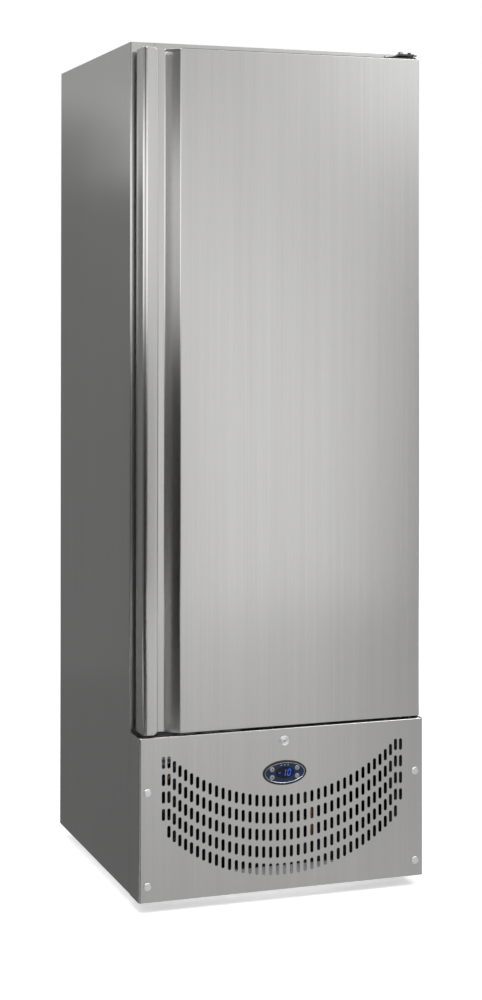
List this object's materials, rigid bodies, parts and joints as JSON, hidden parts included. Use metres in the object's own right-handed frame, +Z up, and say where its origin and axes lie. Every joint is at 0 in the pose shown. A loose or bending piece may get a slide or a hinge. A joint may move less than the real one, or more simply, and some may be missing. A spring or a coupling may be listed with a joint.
{
  "type": "upright freezer",
  "caption": "Tall stainless steel commercial freezer with a full-height solid door and handle lip, a slotted lower front cover with an oval controller and a lock, and wire shelves inside.",
  "frame": {"origin": "middle of the footprint, on the floor", "axes": "+Z up, the door and the front cover face -Y, the hinges are at +X"},
  "size_m": [0.68, 0.712, 1.921],
  "materials": {
    "stainless": "vertically brushed stainless steel",
    "galvanised": "galvanised sheet",
    "foam": "rigid insulation foam",
    "liner": "smooth pale liner",
    "white_plastic": "white plastic",
    "dark_metal": "dark painted metal",
    "chrome_trim": "bright plated",
    "bare_steel": "plain steel",
    "black_plastic": "black plastic",
    "navy_plastic": "navy glossy face",
    "display_glass": "black display window",
    "display_light": "blue lit figures",
    "button_plastic": "silver grey keys",
    "black_paint": "black paint",
    "rubber": "black rubber",
    "copper_fin": "black painted coil and fins",
    "copper": "copper tube",
    "aluminium": "plain aluminium",
    "fan_plastic": "dark moulded plastic",
    "wire_white": "coated wire",
    "gasket": "soft dark seal"
  },
  "bodies": {
    "cabinet": {"side_panel_left": "stainless", "side_panel_right": "stainless", "top_panel": "stainless", "front_sill": "stainless", "rear_panel": "galvanised", "rear_grille": "galvanised", "cabinet_foam": "foam", "bay_roof": "galvanised", "inner_liner": "liner", "breaker_strip": "white_plastic", "base_pan": "galvanised", "levelling_feet": "dark_metal", "front_cover": "stainless", "cover_screws": "chrome_trim", "lock_housing": "chrome_trim", "controller_ring": "black_plastic", "controller_face": "navy_plastic", "controller_box": "black_plastic", "display_screen": "display_glass", "display_figures": "display_light", "compressor": "black_paint", "compressor_mounts": "rubber", "terminal_box": "black_plastic", "condenser_coil": "copper_fin", "fan_shroud": "galvanised", "condenser_fan_motor": "dark_metal", "filter_drier": "copper", "refrigerant_pipes": "copper", "evaporation_tray": "fan_plastic", "drain_pipe": "white_plastic", "evaporator_coil": "aluminium", "evaporator_cover": "white_plastic", "evaporator_fan_motor": "dark_metal", "shelf_pilasters": "bare_steel", "shelf_clips": "bare_steel", "shelf_1": "wire_white", "shelf_2": "wire_white", "shelf_3": "wire_white", "shelf_4": "wire_white", "top_hinge_bracket": "black_paint", "bottom_hinge_bracket": "black_paint", "hinge_screws": "bare_steel", "power_inlet": "black_plastic"},
    "door": {"door_skin": "stainless", "door_end_caps": "stainless", "door_foam": "foam", "door_liner": "liner", "door_gasket": "gasket", "door_hinge_plates": "black_plastic", "hinge_plate_screw": "bare_steel", "lock_strike": "bare_steel"},
    "lock_plug": {"lock_plug": "chrome_trim"},
    "lock_bolt": {"lock_bolt": "bare_steel"},
    "button_up": {"button_up": "button_plastic"},
    "button_down": {"button_down": "button_plastic"},
    "button_set": {"button_set": "button_plastic"},
    "button_standby": {"button_standby": "button_plastic"},
    "condenser_fan": {"condenser_fan": "fan_plastic"},
    "evaporator_fan": {"evaporator_fan": "fan_plastic"}
  },
  "joints": [
    {"name": "door_hinge", "type": "hinge", "parent": "cabinet", "child": "door", "pos_m": [0.319, -0.322, 1.14625], "axis": [0, 0, 1], "range_deg": [0, 115]},
    {"name": "lock_turn", "type": "hinge", "parent": "cabinet", "child": "lock_plug", "pos_m": [0, -0.343, 0.357], "axis": [0, -1, 0], "range_deg": [0, 90]},
    {"name": "lock_slide", "type": "slide", "parent": "cabinet", "child": "lock_bolt", "axis": [0, 0, 1], "range_m": [0, 0.016]},
    {"name": "condenser_fan_spin", "type": "hinge", "parent": "cabinet", "child": "condenser_fan", "pos_m": [-0.07, -0.18, 0.1685], "axis": [0, 1, 0], "continuous": true},
    {"name": "evaporator_fan_spin", "type": "hinge", "parent": "cabinet", "child": "evaporator_fan", "pos_m": [0, -0.106, 1.7385], "axis": [0, 0, 1], "continuous": true},
    {"name": "press_up", "type": "slide", "parent": "cabinet", "child": "button_up", "axis": [0, 1, 0], "range_m": [0, 0.0008], "stiffness_N_per_m": 400},
    {"name": "press_down", "type": "slide", "parent": "cabinet", "child": "button_down", "axis": [0, 1, 0], "range_m": [0, 0.0008], "stiffness_N_per_m": 400},
    {"name": "press_set", "type": "slide", "parent": "cabinet", "child": "button_set", "axis": [0, 1, 0], "range_m": [0, 0.0008], "stiffness_N_per_m": 400},
    {"name": "press_standby", "type": "slide", "parent": "cabinet", "child": "button_standby", "axis": [0, 1, 0], "range_m": [0, 0.0008], "stiffness_N_per_m": 400}
  ],
  "couplings": [
    {"joint": "lock_turn", "follows": "lock_slide", "rad_per_m": 98.175}
  ]
}
